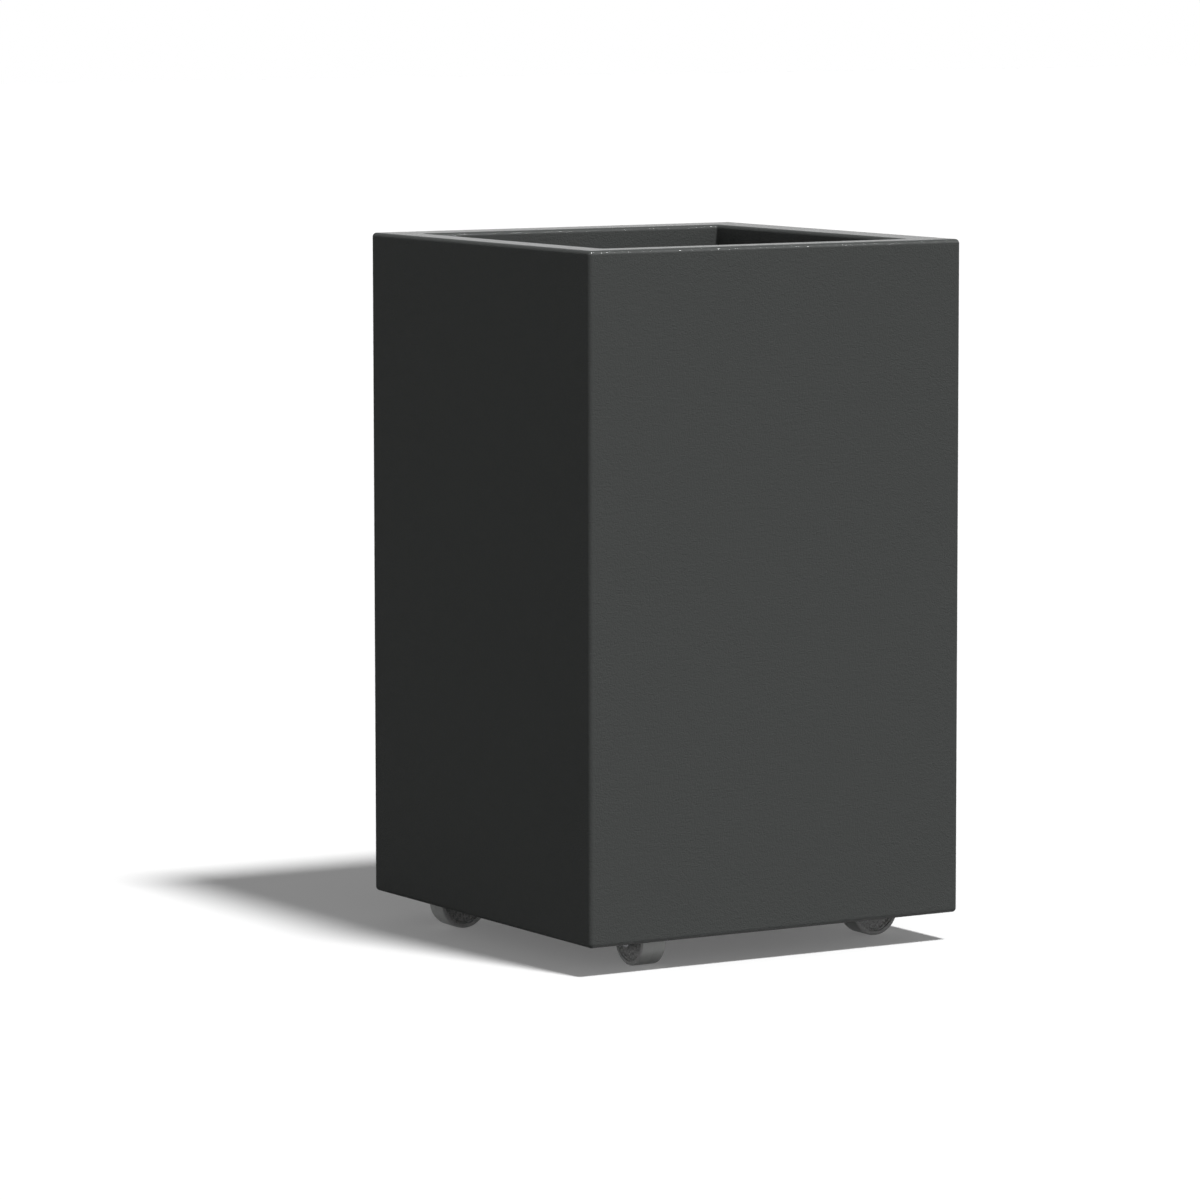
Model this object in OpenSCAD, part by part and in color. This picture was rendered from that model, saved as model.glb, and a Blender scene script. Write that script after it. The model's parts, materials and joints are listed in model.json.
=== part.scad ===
// Tall square planter on four swivel casters.
//
// The planter is double-walled: a square moulded shell with a broad flat rim, whose lip turns
// down into a separate planting tub that leans in slightly towards its floor. The casters stand
// under a recessed base panel, so that only the lower half of each wheel shows below the shell.
//
// Millimetres. +Z is up. The origin is the middle of the footprint, on the floor.
// The front face looks along -Y, and the right face along +X.

/* [Body] */
// Outer width and depth of the square body
body_side = 400; // [380:1:520]
// Height of the body, from its lower edge to the top of the rim
body_height = 628; // [300:1:900]
// Thickness of every moulded wall
wall = 5; // [4:0.5:7]
// Width of the flat rim, from the outer face to the face of its lip
rim_width = 38; // [38:1:60]
// Radius of the outer edges and of the rim's inner edge
edge_radius = 4; // [1:0.5:7]
// Depth of the lip that the rim turns down into the tub
lip_depth = 40; // [20:1:80]
// Width of the foot flange, turned in at the body's lower edge
foot_width = 15; // [12:1:18]

/* [Tub] */
// Lean of the tub's walls from the vertical, in degrees
tub_draft = 1; // [0.5:0.1:2]
// Gap between the rim's lip and the tub, which reaches up outside it
lip_gap = 0.5; // [0.3:0.1:1]
// Gap between the tub's top edge and the underside of the rim
tub_top_gap = 1; // [0.5:0.5:5]

/* [Base] */
// Height of the base panel's underside above the body's lower edge
base_recess = 43; // [30:0.5:60]
// Thickness of the base panel
panel_t = 12; // [12:0.5:20]
// Gap between the base panel and the foot flange that it is fitted through
panel_gap = 1; // [0.5:0.5:3]
// How far each cleat laps over the base panel
cleat_lap = 14; // [12:1:16]
// Height of the cleats that are bonded inside the outer wall
cleat_h = 30; // [26:1:60]

/* [Casters] */
// Distance of each swivel axis from the two nearest faces of the body
caster_inset = 81; // [80:1:110]
// Distance of each axle from its swivel axis
caster_trail = 35; // [28:0.5:36]
// Side of the square mounting plate
plate_side = 60; // [58:1:80]
// Thickness of the mounting plate
plate_t = 2.5; // [2:0.5:5]
// Radius of the mounting plate's corners
plate_corner_r = 5; // [2:0.5:6]
// Distance between the mounting plate's bolt holes, both ways
plate_hole_pitch = 46; // [46:0.5:48]
// Diameter of the mounting plate's bolt holes
plate_hole_d = 6.5; // [6.2:0.1:8]
// Diameter of the fork's crown
crown_d = 40; // [38:0.5:42]
// Thickness of the fork's crown
crown_t = 3; // [2:0.5:5]
// Thickness of the fork's pressed steel
fork_t = 2.5; // [1.5:0.5:3]
// Length of the fork's top, along the trail
fork_top_l = 32; // [24:1:36]
// Diameter of the eye round each end of the axle
fork_eye_d = 16; // [14:0.5:20]
// Gap between the wheel's top and the fork
wheel_top_gap = 8.5; // [8:0.5:16]
// Gap between each side of the wheel and the fork
wheel_side_gap = 1.5; // [0.5:0.5:3]

/* [Swivel bearing] */
// Diameter of the bearing balls
ball_d = 5; // [4.5:0.5:5.5]
// Diameter of the circle through the balls' centres
ball_circle_d = 30; // [28:0.5:31]
// Number of balls in each bearing
ball_count = 12; // [6:1:14]
// Height of the gap between the crown and the race above it
race_gap = 3; // [2.5:0.5:4]
// Thickness of the race that is pressed into the plate
race_t = 1; // [1:0.5:2]
// Thickness of the dust shield round the crown
shield_t = 1.5; // [1:0.5:2]
// Gap between the dust shield and the crown
shield_gap = 0.5; // [0.4:0.1:1]
// Diameter of the king pin
king_d = 10; // [8:0.5:11]
// Diameter of the king pin's two heads
king_head_d = 16; // [13:0.5:17]
// Height of the king pin's lower head
king_head_t = 3; // [2:0.5:4]
// Diameter of the thrust washer under the fork
thrust_washer_d = 24; // [18:0.5:26]
// Thickness of the thrust washer
thrust_washer_t = 2.4; // [1.5:0.1:3]

/* [Wheels] */
// Diameter over the tyre
wheel_d = 50; // [46:1:60]
// Width of the tyre
wheel_w = 25; // [20:0.5:28]
// Thickness of the tyre
tyre_t = 3.75; // [2.5:0.25:5]
// Radius of the tyre's edges
tyre_edge_r = 1.5; // [0.5:0.25:2]
// Depth of the hub's face within the tyre
hub_recess = 1.5; // [0.5:0.25:4]
// Diameter of the boss round the hub's bore
hub_boss_d = 15; // [13:0.5:20]
// Diameter of the axle bolt
axle_d = 6; // [5:0.5:7]
// Outer diameter of the spacer sleeve that the hub turns on
sleeve_d = 9; // [8.5:0.5:10]

/* [Fasteners] */
// Diameter of the caster bolts
bolt_d = 6; // [5:0.5:6]
// Length of the caster bolts under their heads
bolt_l = 14; // [12:0.5:14]
// Width across the flats of the hexagon heads and nuts
hex_flats = 10; // [9:0.5:11]
// Height of the hexagon heads
hex_head_h = 4; // [3:0.5:5]
// Height of the axle nuts
axle_nut_h = 5; // [4:0.5:6]
// Diameter of the washers under the caster bolts' heads
washer_d = 12; // [11:0.5:13]
// Thickness of the washers
washer_t = 1.2; // [0.8:0.1:1.6]
// Diameter of the tee nuts' flanges
tee_flange_d = 19; // [16:0.5:20]
// Thickness of the tee nuts' flanges
tee_flange_t = 1.5; // [1:0.25:2]
// Outer diameter of the tee nuts' barrels
tee_barrel_d = 8; // [7.5:0.25:9]
// Length of the tee nuts' barrels
tee_barrel_l = 9; // [7:0.5:9.5]
// Diameter of the panel screws
screw_d = 4; // [3:0.5:5]
// Diameter of the panel screws' heads
screw_head_d = 8; // [6.5:0.5:9]
// Length of the panel screws
screw_l = 30; // [24:1:36]
// Distance between the panel screws along each side
screw_pitch = 150; // [120:1:155]

/* [Drain] */
// Bore of the drain fitting
drain_bore_d = 20; // [14:1:24]
// Thickness of the drain fitting's tube
drain_wall = 3; // [2:0.5:4]
// Diameter of the drain fitting's flange, which is also the gasket's
drain_flange_d = 40; // [36:1:60]
// Thickness of the drain fitting's flange
drain_flange_t = 3; // [2:0.5:5]
// Thickness of the gasket under the flange
gasket_t = 1.5; // [1:0.5:3]
// Width across the flats of the drain's lock nut
drain_nut_flats = 36; // [36:1:50]
// Height of the drain's lock nut
drain_nut_h = 8; // [6:0.5:10]
// Length of the drain tube below its lock nut
drain_tail = 2.5; // [1:0.5:6]
// Diameter of the drain plug's head
plug_head_d = 28; // [28:1:34]
// Thickness of the drain plug's head
plug_head_t = 4; // [3:0.5:6]
// Depth of the drain plug in the bore
plug_depth = 12; // [8:1:16]
// Height of the grip across the plug's head
plug_grip_h = 6; // [4:0.5:12]
// Thickness of that grip
plug_grip_t = 4; // [3:0.5:8]

/* [Clearances] */
// Radial clearance of parts that are pressed or bolted together
fit_gap = 0.05; // [0.02:0.01:0.2]
// Radial clearance of the hub on its sleeve and of the crown on its king pin
running_gap = 0.06; // [0.02:0.01:0.1]
// Clearance of the balls in their races
ball_play = 0.1; // [0.05:0.01:0.2]
// End play of the fork on its thrust washer, and of the hub's boss in the fork
end_play = 0.2; // [0.1:0.05:0.3]

/* [Hidden] */
$fn = 64;

// A cut goes this far past the face that it opens, so that no skin is left there
over = 1;
// Hexagons are circles of six sides
hex_sides = 6;

corner_names = ["front_left", "front_right", "back_right", "back_left"];
// Directions of each corner from the middle, and the way its wheel trails at rest
corner_x = [-1, 1, 1, -1];
corner_y = [-1, -1, 1, 1];
trail_angles = [-90, 0, 90, 180];

root_names = ["outer_shell", "planting_tub", "base_panel", "cleat_front", "cleat_back",
              "cleat_left", "cleat_right", "panel_screws", "tee_nuts", "caster_bolts",
              "caster_washers", "drain_fitting", "drain_gasket", "drain_nut", "drain_plug"];
caster_kinds = ["swivel_plate", "king_pin", "thrust_washer", "bearing_balls", "fork",
                "axle_bolt", "axle_nut", "axle_sleeve", "wheel_hub", "tyre"];

// Heights, from the floor up
axle_z = wheel_d / 2;
web_z = wheel_d + wheel_top_gap;
crown_z = web_z + fork_t;
crown_top_z = crown_z + crown_t;
ball_z = crown_top_z + race_gap / 2;
race_z = crown_top_z + race_gap;
plate_z = race_z + race_t;
panel_z = plate_z + plate_t;
panel_top_z = panel_z + panel_t;
tub_floor_z = panel_top_z + wall;
body_z = panel_z - base_recess;
rim_z = body_z + body_height;
rim_under_z = rim_z - wall;
lip_low_z = rim_z - lip_depth;
tub_top_z = rim_under_z - tub_top_gap;

// Half widths across the body, from the outside in
half_side = body_side / 2;
half_inside = half_side - wall;
half_foot = half_side - foot_width;
half_panel = half_foot - panel_gap;
half_cleat = half_panel - cleat_lap;
half_mouth = half_side - rim_width;
half_lip = half_mouth + wall;
// The leaning tub comes closest to the lip at the lip's lower edge
half_tub_top = half_lip + lip_gap + (tub_top_z - lip_low_z) * tan(tub_draft);
swivel_offset = half_side - caster_inset;
screw_line = half_panel - cleat_lap / 2;

// Across each fork, from its middle plane out
fork_inner = wheel_w / 2 + wheel_side_gap;
fork_outer = fork_inner + fork_t;
tyre_inner_r = wheel_d / 2 - tyre_t;
hex_r = hex_flats / 2 / cos(180 / hex_sides);
drain_tube_r = drain_bore_d / 2 + drain_wall;
flange_z = tub_floor_z + gasket_t;

body_colour = [0.27, 0.28, 0.275];
panel_colour = [0.12, 0.12, 0.12];
cleat_colour = [0.35, 0.34, 0.32];
steel_colour = [0.68, 0.69, 0.70];
rubber_colour = [0.08, 0.08, 0.08];
hub_colour = [0.26, 0.26, 0.27];
tyre_colour = [0.42, 0.42, 0.42];

// ---------------------------------------------------------------- plane shapes

// A rectangle about the origin with round corners
module round_rect(width, height, r) {
    square([width - 2 * r, height], center = true);
    square([width, height - 2 * r], center = true);
    for (x = [-1, 1], y = [-1, 1]) {
        translate([x * (width / 2 - r), y * (height / 2 - r)]) circle(r);
    }
}

// The outline of a belt round two circles, with straight sides that touch both
module belt(from, from_r, to, to_r) {
    run = to - from;
    heading = atan2(run[1], run[0]);
    opening = acos((from_r - to_r) / norm(run));
    sides = [heading + opening, heading - opening];
    translate(from) circle(from_r);
    translate(to) circle(to_r);
    polygon([
        from + from_r * [cos(sides[0]), sin(sides[0])],
        to + to_r * [cos(sides[0]), sin(sides[0])],
        to + to_r * [cos(sides[1]), sin(sides[1])],
        from + from_r * [cos(sides[1]), sin(sides[1])]
    ]);
}

// ---------------------------------------------------------------- solids used often

// A profile drawn in X and Z, drawn out along Y both ways and then along X as well;
// what both have in common is square in plan
module square_in_plan(length) {
    intersection() {
        rotate([90, 0, 0]) linear_extrude(length, center = true) children();
        rotate([0, 0, 90]) rotate([90, 0, 0]) linear_extrude(length, center = true) children();
    }
}

module ring(outer_r, inner_r, height) {
    difference() {
        cylinder(height, r = outer_r);
        translate([0, 0, -over]) cylinder(height + 2 * over, r = inner_r);
    }
}

// A countersunk head that widens upwards to the full radius
module countersunk(shank_r, head_r, height) {
    cylinder(height, r1 = shank_r, r2 = head_r);
}

// Puts its children at one corner, on the swivel axis, with +X along the trail
module at_corner(i) {
    translate([corner_x[i] * swivel_offset, corner_y[i] * swivel_offset, 0])
        rotate([0, 0, trail_angles[i]]) children();
}

// Puts its children on the axle, with +Z along it
module on_axle() {
    translate([caster_trail, 0, axle_z]) rotate([90, 0, 0]) children();
}

module at_plate_holes() {
    for (x = [-1, 1], y = [-1, 1]) {
        translate([x * plate_hole_pitch / 2, y * plate_hole_pitch / 2, 0]) children();
    }
}

module at_all_plate_holes() {
    for (i = [0:3]) at_corner(i) at_plate_holes() children();
}

module at_panel_screws() {
    for (side = [0:3], step = [-1, 0, 1]) {
        rotate([0, 0, 90 * side]) translate([screw_line, step * screw_pitch, 0]) children();
    }
}

// ---------------------------------------------------------------- shell and tub

// A square prism about the Z axis
module square_prism(half, low_z, high_z) {
    translate([-half, -half, low_z]) cube([2 * half, 2 * half, high_z - low_z]);
}

// The shell's outside, with every edge rounded
module shell_outside() {
    intersection() {
        translate([0, 0, body_z])
            linear_extrude(body_height) round_rect(body_side, body_side, edge_radius);
        translate([0, 0, body_z + body_height / 2])
            square_in_plan(body_side) round_rect(body_side, body_height, edge_radius);
    }
}

// The flare that rounds the rim's inner edge
module mouth_flare_section() {
    flare_z = rim_z - edge_radius;
    flare_half = half_mouth + edge_radius;
    difference() {
        translate([-flare_half, flare_z]) square([2 * flare_half, edge_radius + over]);
        for (side = [-1, 1]) translate([side * flare_half, flare_z]) circle(edge_radius);
    }
}

module outer_shell() color(body_colour) {
    difference() {
        shell_outside();
        square_prism(half_mouth, body_z, rim_z + over);
        square_in_plan(body_side) mouth_flare_section();
        square_prism(half_foot, body_z - over, body_z + wall + over);
        difference() {
            square_prism(half_inside, body_z + wall, rim_under_z);
            square_prism(half_lip, lip_low_z, rim_z);
        }
    }
}

// Half width of the planting space at a height in the tub
function tub_half(z) = half_tub_top - (tub_top_z - z) * tan(tub_draft);

// The tub's section from a height up, grown outwards by the given thickness
module tub_section(low_z, high_z, grow) {
    polygon([
        [-tub_half(low_z) - grow, low_z],
        [tub_half(low_z) + grow, low_z],
        [tub_half(high_z) + grow, high_z],
        [-tub_half(high_z) - grow, high_z]
    ]);
}

module planting_tub() color(body_colour) {
    difference() {
        square_in_plan(body_side) tub_section(panel_top_z, tub_top_z, wall);
        square_in_plan(body_side) tub_section(tub_floor_z, tub_top_z + over, 0);
        translate([0, 0, panel_top_z - over])
            cylinder(wall + 2 * over, r = drain_tube_r + fit_gap);
    }
}

// ---------------------------------------------------------------- base

module base_panel() color(panel_colour) {
    difference() {
        translate([-half_panel, -half_panel, panel_z])
            cube([2 * half_panel, 2 * half_panel, panel_t]);
        translate([0, 0, panel_z - over])
            cylinder(panel_t + 2 * over, r = drain_tube_r + fit_gap);
        at_all_plate_holes() {
            translate([0, 0, panel_z - over])
                cylinder(panel_t + 2 * over, r = tee_barrel_d / 2 + fit_gap);
            translate([0, 0, panel_top_z - tee_flange_t])
                cylinder(tee_flange_t + over, r = tee_flange_d / 2 + fit_gap);
        }
        at_panel_screws() {
            translate([0, 0, panel_z - over])
                cylinder(panel_t + 2 * over, r = screw_d / 2 + fit_gap);
            screw_countersink();
        }
    }
}

module screw_countersink() {
    head_h = (screw_head_d - screw_d) / 2;
    translate([0, 0, panel_z + head_h]) mirror([0, 0, 1])
        countersunk(screw_d / 2 + fit_gap, screw_head_d / 2 + fit_gap, head_h);
}

module panel_screws() color(steel_colour) at_panel_screws() {
    head_h = (screw_head_d - screw_d) / 2;
    translate([0, 0, panel_z + head_h]) mirror([0, 0, 1])
        countersunk(screw_d / 2, screw_head_d / 2, head_h);
    translate([0, 0, panel_z + head_h]) cylinder(screw_l - head_h, r = screw_d / 2);
}

// One cleat along the front, drilled for its screws
module cleat(length) color(cleat_colour) {
    difference() {
        translate([-length / 2, -half_inside, panel_top_z])
            cube([length, half_inside - half_cleat, cleat_h]);
        for (step = [-1, 0, 1]) {
            translate([step * screw_pitch, -screw_line, panel_top_z - over])
                cylinder(panel_z + screw_l - panel_top_z + 2 * over, r = screw_d / 2 + fit_gap);
        }
    }
}

module cleat_front() cleat(2 * half_inside);
module cleat_back() rotate([0, 0, 180]) cleat(2 * half_inside);
module cleat_left() rotate([0, 0, -90]) cleat(2 * half_cleat);
module cleat_right() rotate([0, 0, 90]) cleat(2 * half_cleat);

// ---------------------------------------------------------------- caster fasteners

module tee_nuts() color(steel_colour) at_all_plate_holes() {
    flange_low_z = panel_top_z - tee_flange_t;
    difference() {
        union() {
            translate([0, 0, flange_low_z]) cylinder(tee_flange_t, r = tee_flange_d / 2);
            translate([0, 0, flange_low_z - tee_barrel_l])
                cylinder(tee_barrel_l + tee_flange_t, r = tee_barrel_d / 2);
        }
        translate([0, 0, flange_low_z - tee_barrel_l - over])
            cylinder(tee_barrel_l + tee_flange_t + 2 * over, r = bolt_d / 2 + fit_gap);
    }
}

module caster_bolts() color(steel_colour) at_all_plate_holes() {
    head_top_z = plate_z - washer_t;
    translate([0, 0, head_top_z - hex_head_h]) cylinder(hex_head_h, r = hex_r, $fn = hex_sides);
    translate([0, 0, head_top_z]) cylinder(bolt_l, r = bolt_d / 2);
}

module caster_washers() color(steel_colour) at_all_plate_holes() {
    translate([0, 0, plate_z - washer_t])
        ring(washer_d / 2, bolt_d / 2 + fit_gap, washer_t);
}

// ---------------------------------------------------------------- drain

module drain_fitting() color(rubber_colour) {
    low_z = panel_z - drain_nut_h - drain_tail;
    difference() {
        union() {
            translate([0, 0, flange_z]) cylinder(drain_flange_t, r = drain_flange_d / 2);
            translate([0, 0, low_z]) cylinder(flange_z - low_z + drain_flange_t, r = drain_tube_r);
        }
        translate([0, 0, low_z - over])
            cylinder(flange_z - low_z + drain_flange_t + 2 * over, r = drain_bore_d / 2);
    }
}

module drain_gasket() color(rubber_colour) {
    translate([0, 0, tub_floor_z])
        ring(drain_flange_d / 2, drain_tube_r + fit_gap, gasket_t);
}

module drain_nut() color(rubber_colour) {
    translate([0, 0, panel_z - drain_nut_h]) difference() {
        cylinder(drain_nut_h, r = drain_nut_flats / 2 / cos(180 / hex_sides), $fn = hex_sides);
        translate([0, 0, -over])
            cylinder(drain_nut_h + 2 * over, r = drain_tube_r + fit_gap);
    }
}

module drain_plug() color(rubber_colour) {
    head_z = flange_z + drain_flange_t;
    translate([0, 0, head_z]) cylinder(plug_head_t, r = plug_head_d / 2);
    translate([0, 0, head_z - plug_depth])
        cylinder(plug_depth + plug_head_t, r = drain_bore_d / 2 - fit_gap);
    translate([-plug_head_d / 2 + plug_grip_t, -plug_grip_t / 2, head_z])
        cube([plug_head_d - 2 * plug_grip_t, plug_grip_t, plug_head_t + plug_grip_h]);
}

// ---------------------------------------------------------------- swivel head

// The track that the balls run in, cut from what it is taken away from
module ball_track() {
    translate([0, 0, ball_z]) rotate_extrude()
        translate([ball_circle_d / 2, 0]) circle(ball_d / 2 + ball_play);
}

// Plate, pressed race and dust shield
module swivel_plate() color(steel_colour) {
    shield_r = crown_d / 2 + shield_gap + shield_t;
    shield_z = crown_z + shield_gap;
    difference() {
        union() {
            translate([0, 0, plate_z])
                linear_extrude(plate_t) round_rect(plate_side, plate_side, plate_corner_r);
            translate([0, 0, shield_z]) cylinder(plate_z - shield_z + plate_t / 2, r = shield_r);
        }
        translate([0, 0, shield_z - over])
            cylinder(race_z - shield_z + over, r = shield_r - shield_t);
        ball_track();
        translate([0, 0, race_z - over])
            cylinder(race_t + plate_t + 2 * over, r = king_d / 2 + fit_gap);
        translate([0, 0, plate_z])
            countersunk(king_d / 2 + fit_gap, king_head_d / 2 + fit_gap, plate_t);
        at_plate_holes() translate([0, 0, plate_z - over])
            cylinder(plate_t + 2 * over, r = plate_hole_d / 2);
    }
}

// Riveted through the plate, the fork and the thrust washer
module king_pin() color(steel_colour) {
    head_top_z = web_z - end_play - thrust_washer_t;
    translate([0, 0, plate_z]) countersunk(king_d / 2, king_head_d / 2, plate_t);
    translate([0, 0, head_top_z]) cylinder(plate_z - head_top_z, r = king_d / 2);
    translate([0, 0, head_top_z - king_head_t]) cylinder(king_head_t, r = king_head_d / 2);
}

module thrust_washer() color(rubber_colour) {
    translate([0, 0, web_z - end_play - thrust_washer_t])
        ring(thrust_washer_d / 2, king_d / 2 + fit_gap, thrust_washer_t);
}

module bearing_balls() color(steel_colour) {
    for (i = [0:ball_count - 1]) rotate([0, 0, 360 * i / ball_count])
        translate([ball_circle_d / 2, 0, ball_z]) sphere(d = ball_d);
}

// ---------------------------------------------------------------- fork and axle

// One cheek of the fork, seen from the side
module cheek_section() {
    top_r = fork_top_l / 2;
    top_z = web_z - top_r;
    belt([0, top_z], top_r, [caster_trail, axle_z], fork_eye_d / 2);
    translate([-top_r, top_z]) square([fork_top_l, crown_z - top_z]);
}

module fork() color(steel_colour) {
    difference() {
        union() {
            translate([0, 0, crown_z - fork_t / 2])
                cylinder(crown_t + fork_t / 2, r = crown_d / 2);
            translate([-fork_top_l / 2, -fork_outer, web_z])
                cube([fork_top_l, 2 * fork_outer, fork_t]);
            for (side = [-1, 1]) translate([0, side * (fork_inner + fork_t / 2), 0])
                rotate([90, 0, 0]) linear_extrude(fork_t, center = true) cheek_section();
        }
        ball_track();
        translate([0, 0, web_z - over])
            cylinder(fork_t + crown_t + 2 * over, r = king_d / 2 + running_gap);
        on_axle() cylinder(2 * fork_outer + 2 * over, r = axle_d / 2 + fit_gap, center = true);
    }
}

module axle_bolt() color(steel_colour) on_axle() {
    translate([0, 0, fork_outer]) cylinder(hex_head_h, r = hex_r, $fn = hex_sides);
    translate([0, 0, -fork_outer - axle_nut_h])
        cylinder(2 * fork_outer + axle_nut_h, r = axle_d / 2);
}

module axle_nut() color(steel_colour) on_axle() {
    translate([0, 0, -fork_outer - axle_nut_h]) difference() {
        cylinder(axle_nut_h, r = hex_r, $fn = hex_sides);
        translate([0, 0, -over]) cylinder(axle_nut_h + 2 * over, r = axle_d / 2 + fit_gap);
    }
}

module axle_sleeve() color(steel_colour) on_axle() {
    translate([0, 0, -fork_inner]) ring(sleeve_d / 2, axle_d / 2 + fit_gap, 2 * fork_inner);
}

// ---------------------------------------------------------------- wheel

module wheel_hub() color(hub_colour) on_axle() {
    boss_half = fork_inner - end_play;
    face_half = wheel_w / 2 - hub_recess;
    difference() {
        union() {
            cylinder(2 * face_half, r = tyre_inner_r - fit_gap, center = true);
            cylinder(2 * boss_half, r = hub_boss_d / 2, center = true);
        }
        cylinder(2 * boss_half + 2 * over, r = sleeve_d / 2 + running_gap, center = true);
    }
}

module tyre() color(tyre_colour) on_axle() {
    rotate_extrude() difference() {
        translate([wheel_d / 4, 0]) round_rect(wheel_d / 2, wheel_w, tyre_edge_r);
        translate([-over, -wheel_w]) square([tyre_inner_r + over, 2 * wheel_w]);
    }
}

// ---------------------------------------------------------------- the whole

outer_shell();
planting_tub();
base_panel();
cleat_front();
cleat_back();
cleat_left();
cleat_right();
panel_screws();
tee_nuts();
caster_bolts();
caster_washers();
drain_fitting();
drain_gasket();
drain_nut();
drain_plug();

for (i = [0:3]) {
    name = corner_names[i];
    at_corner(i) swivel_plate();
    at_corner(i) king_pin();
    at_corner(i) thrust_washer();
    at_corner(i) bearing_balls();
    at_corner(i) fork();
    at_corner(i) axle_bolt();
    at_corner(i) axle_nut();
    at_corner(i) axle_sleeve();
    at_corner(i) wheel_hub();
    at_corner(i) tyre();
}
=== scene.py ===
"""The looks of a tall square planter on four swivel casters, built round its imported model.

Metres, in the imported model's own frame: +Z up, origin on the floor under the middle,
front face along -Y, right face along +X.
"""

import json
import math

import bmesh
import bpy
from mathutils import Matrix, Vector


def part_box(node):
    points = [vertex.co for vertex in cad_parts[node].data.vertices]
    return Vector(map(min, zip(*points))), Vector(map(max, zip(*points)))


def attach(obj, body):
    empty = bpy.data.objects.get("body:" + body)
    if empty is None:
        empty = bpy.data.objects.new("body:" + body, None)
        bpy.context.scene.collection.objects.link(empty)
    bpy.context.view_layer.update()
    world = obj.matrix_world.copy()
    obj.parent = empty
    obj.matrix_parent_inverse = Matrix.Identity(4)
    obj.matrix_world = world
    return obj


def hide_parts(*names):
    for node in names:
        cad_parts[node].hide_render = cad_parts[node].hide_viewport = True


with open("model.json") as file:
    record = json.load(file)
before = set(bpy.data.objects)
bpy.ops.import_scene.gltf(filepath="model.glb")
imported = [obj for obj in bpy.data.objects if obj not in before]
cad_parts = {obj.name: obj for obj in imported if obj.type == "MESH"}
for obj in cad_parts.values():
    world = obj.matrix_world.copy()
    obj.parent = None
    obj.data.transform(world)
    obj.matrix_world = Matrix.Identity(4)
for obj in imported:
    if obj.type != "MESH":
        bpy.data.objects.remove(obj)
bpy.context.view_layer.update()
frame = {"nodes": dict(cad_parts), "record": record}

MM = 0.001

# ---------------------------------------------------------------- sizes

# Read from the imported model
SHELL_LOW, SHELL_HIGH = (Vector(corner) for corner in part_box("outer_shell"))
TUB_LOW, TUB_HIGH = (Vector(corner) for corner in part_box("planting_tub"))

# The model's driving sizes that its boxes don't give
WALL = 5 * MM
RIM_WIDTH = 38 * MM
EDGE_RADIUS = 4 * MM
LIP_DEPTH = 40 * MM
FOOT_WIDTH = 15 * MM
TUB_DRAFT = math.radians(1)
DRAIN_HOLE_RADIUS = 13.05 * MM
CASTER_INSET = 81 * MM
SWIVEL_OFFSET = SHELL_HIGH.x - CASTER_INSET
CASTER_TRAIL = 35 * MM
HOLE_PITCH = 46 * MM
BALL_CIRCLE = 30 * MM
BALL_DIAMETER = 5 * MM
BALL_COUNT = 12
SCREWS_A_SIDE = 3
SCREW_PITCH = 150 * MM
SCREW_OFFSET = 177 * MM
SCREW_HEAD = 8 * MM
SCREW_SHANK = 4 * MM
HEX_FLATS = 10 * MM
BOLT_SHANK = 6 * MM
BOLT_BORE = 6.1 * MM
WASHER_WIDTH = 12 * MM
NUT_FLANGE = 19 * MM
NUT_FLANGE_DEPTH = 1.5 * MM
NUT_BARREL = 8 * MM
AXLE_HEIGHT = 25 * MM
WHEEL_DIAMETER = 50 * MM
TYRE_BORE = 42.5 * MM
TYRE_WIDTH = 25 * MM
HUB_DIAMETER = 42.4 * MM
HUB_WIDTH = 22 * MM
HUB_BOSS = 15 * MM
HUB_LENGTH = 27.6 * MM
HUB_BORE = 9.12 * MM

# Each caster: the signs of its corner along X and Y, and how far its trail is turned at rest
CASTERS = {
    "front_left": (-1, -1, -90),
    "front_right": (1, -1, 0),
    "back_right": (1, 1, 90),
    "back_left": (-1, 1, 180),
}


def swivel_point(corner, height):
    """A point on the axis that a caster swivels about."""
    across, along, _ = CASTERS[corner]
    return across * SWIVEL_OFFSET, along * SWIVEL_OFFSET, height


# ---------------------------------------------------------------- node helpers

def feed(tree, socket, value):
    """The socket linked from another, or set to a value."""
    if isinstance(value, bpy.types.NodeSocket):
        tree.links.new(value, socket)
    else:
        socket.default_value = value


def add_node(tree, kind, inputs=None, **settings):
    """A node with its settings, and its inputs linked from sockets or set to values."""
    node = tree.nodes.new(kind)
    for name, value in settings.items():
        setattr(node, name, value)
    for key, value in (inputs or {}).items():
        feed(tree, node.inputs[key], value)
    return node


def maths(tree, operation, *values, clamp=False):
    """A Math node's result."""
    inputs = dict(enumerate(values))
    node = add_node(tree, "ShaderNodeMath", inputs, operation=operation, use_clamp=clamp)
    return node.outputs[0]


def parts_of(tree, vector):
    """A vector's X, Y and Z."""
    return add_node(tree, "ShaderNodeSeparateXYZ", {0: vector}).outputs


def noise(tree, position, scale, detail, roughness=0.5):
    """Soft noise round a half, with about that many bumps to a metre."""
    inputs = {"Vector": position, "Scale": scale, "Detail": detail, "Roughness": roughness}
    return add_node(tree, "ShaderNodeTexNoise", inputs).outputs["Fac"]


def scaled(tree, value, low, high, to_low, to_high):
    """The value moved from one range to another, and kept inside it."""
    inputs = {"Value": value, "From Min": low, "From Max": high,
              "To Min": to_low, "To Max": to_high}
    return add_node(tree, "ShaderNodeMapRange", inputs).outputs["Result"]


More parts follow.
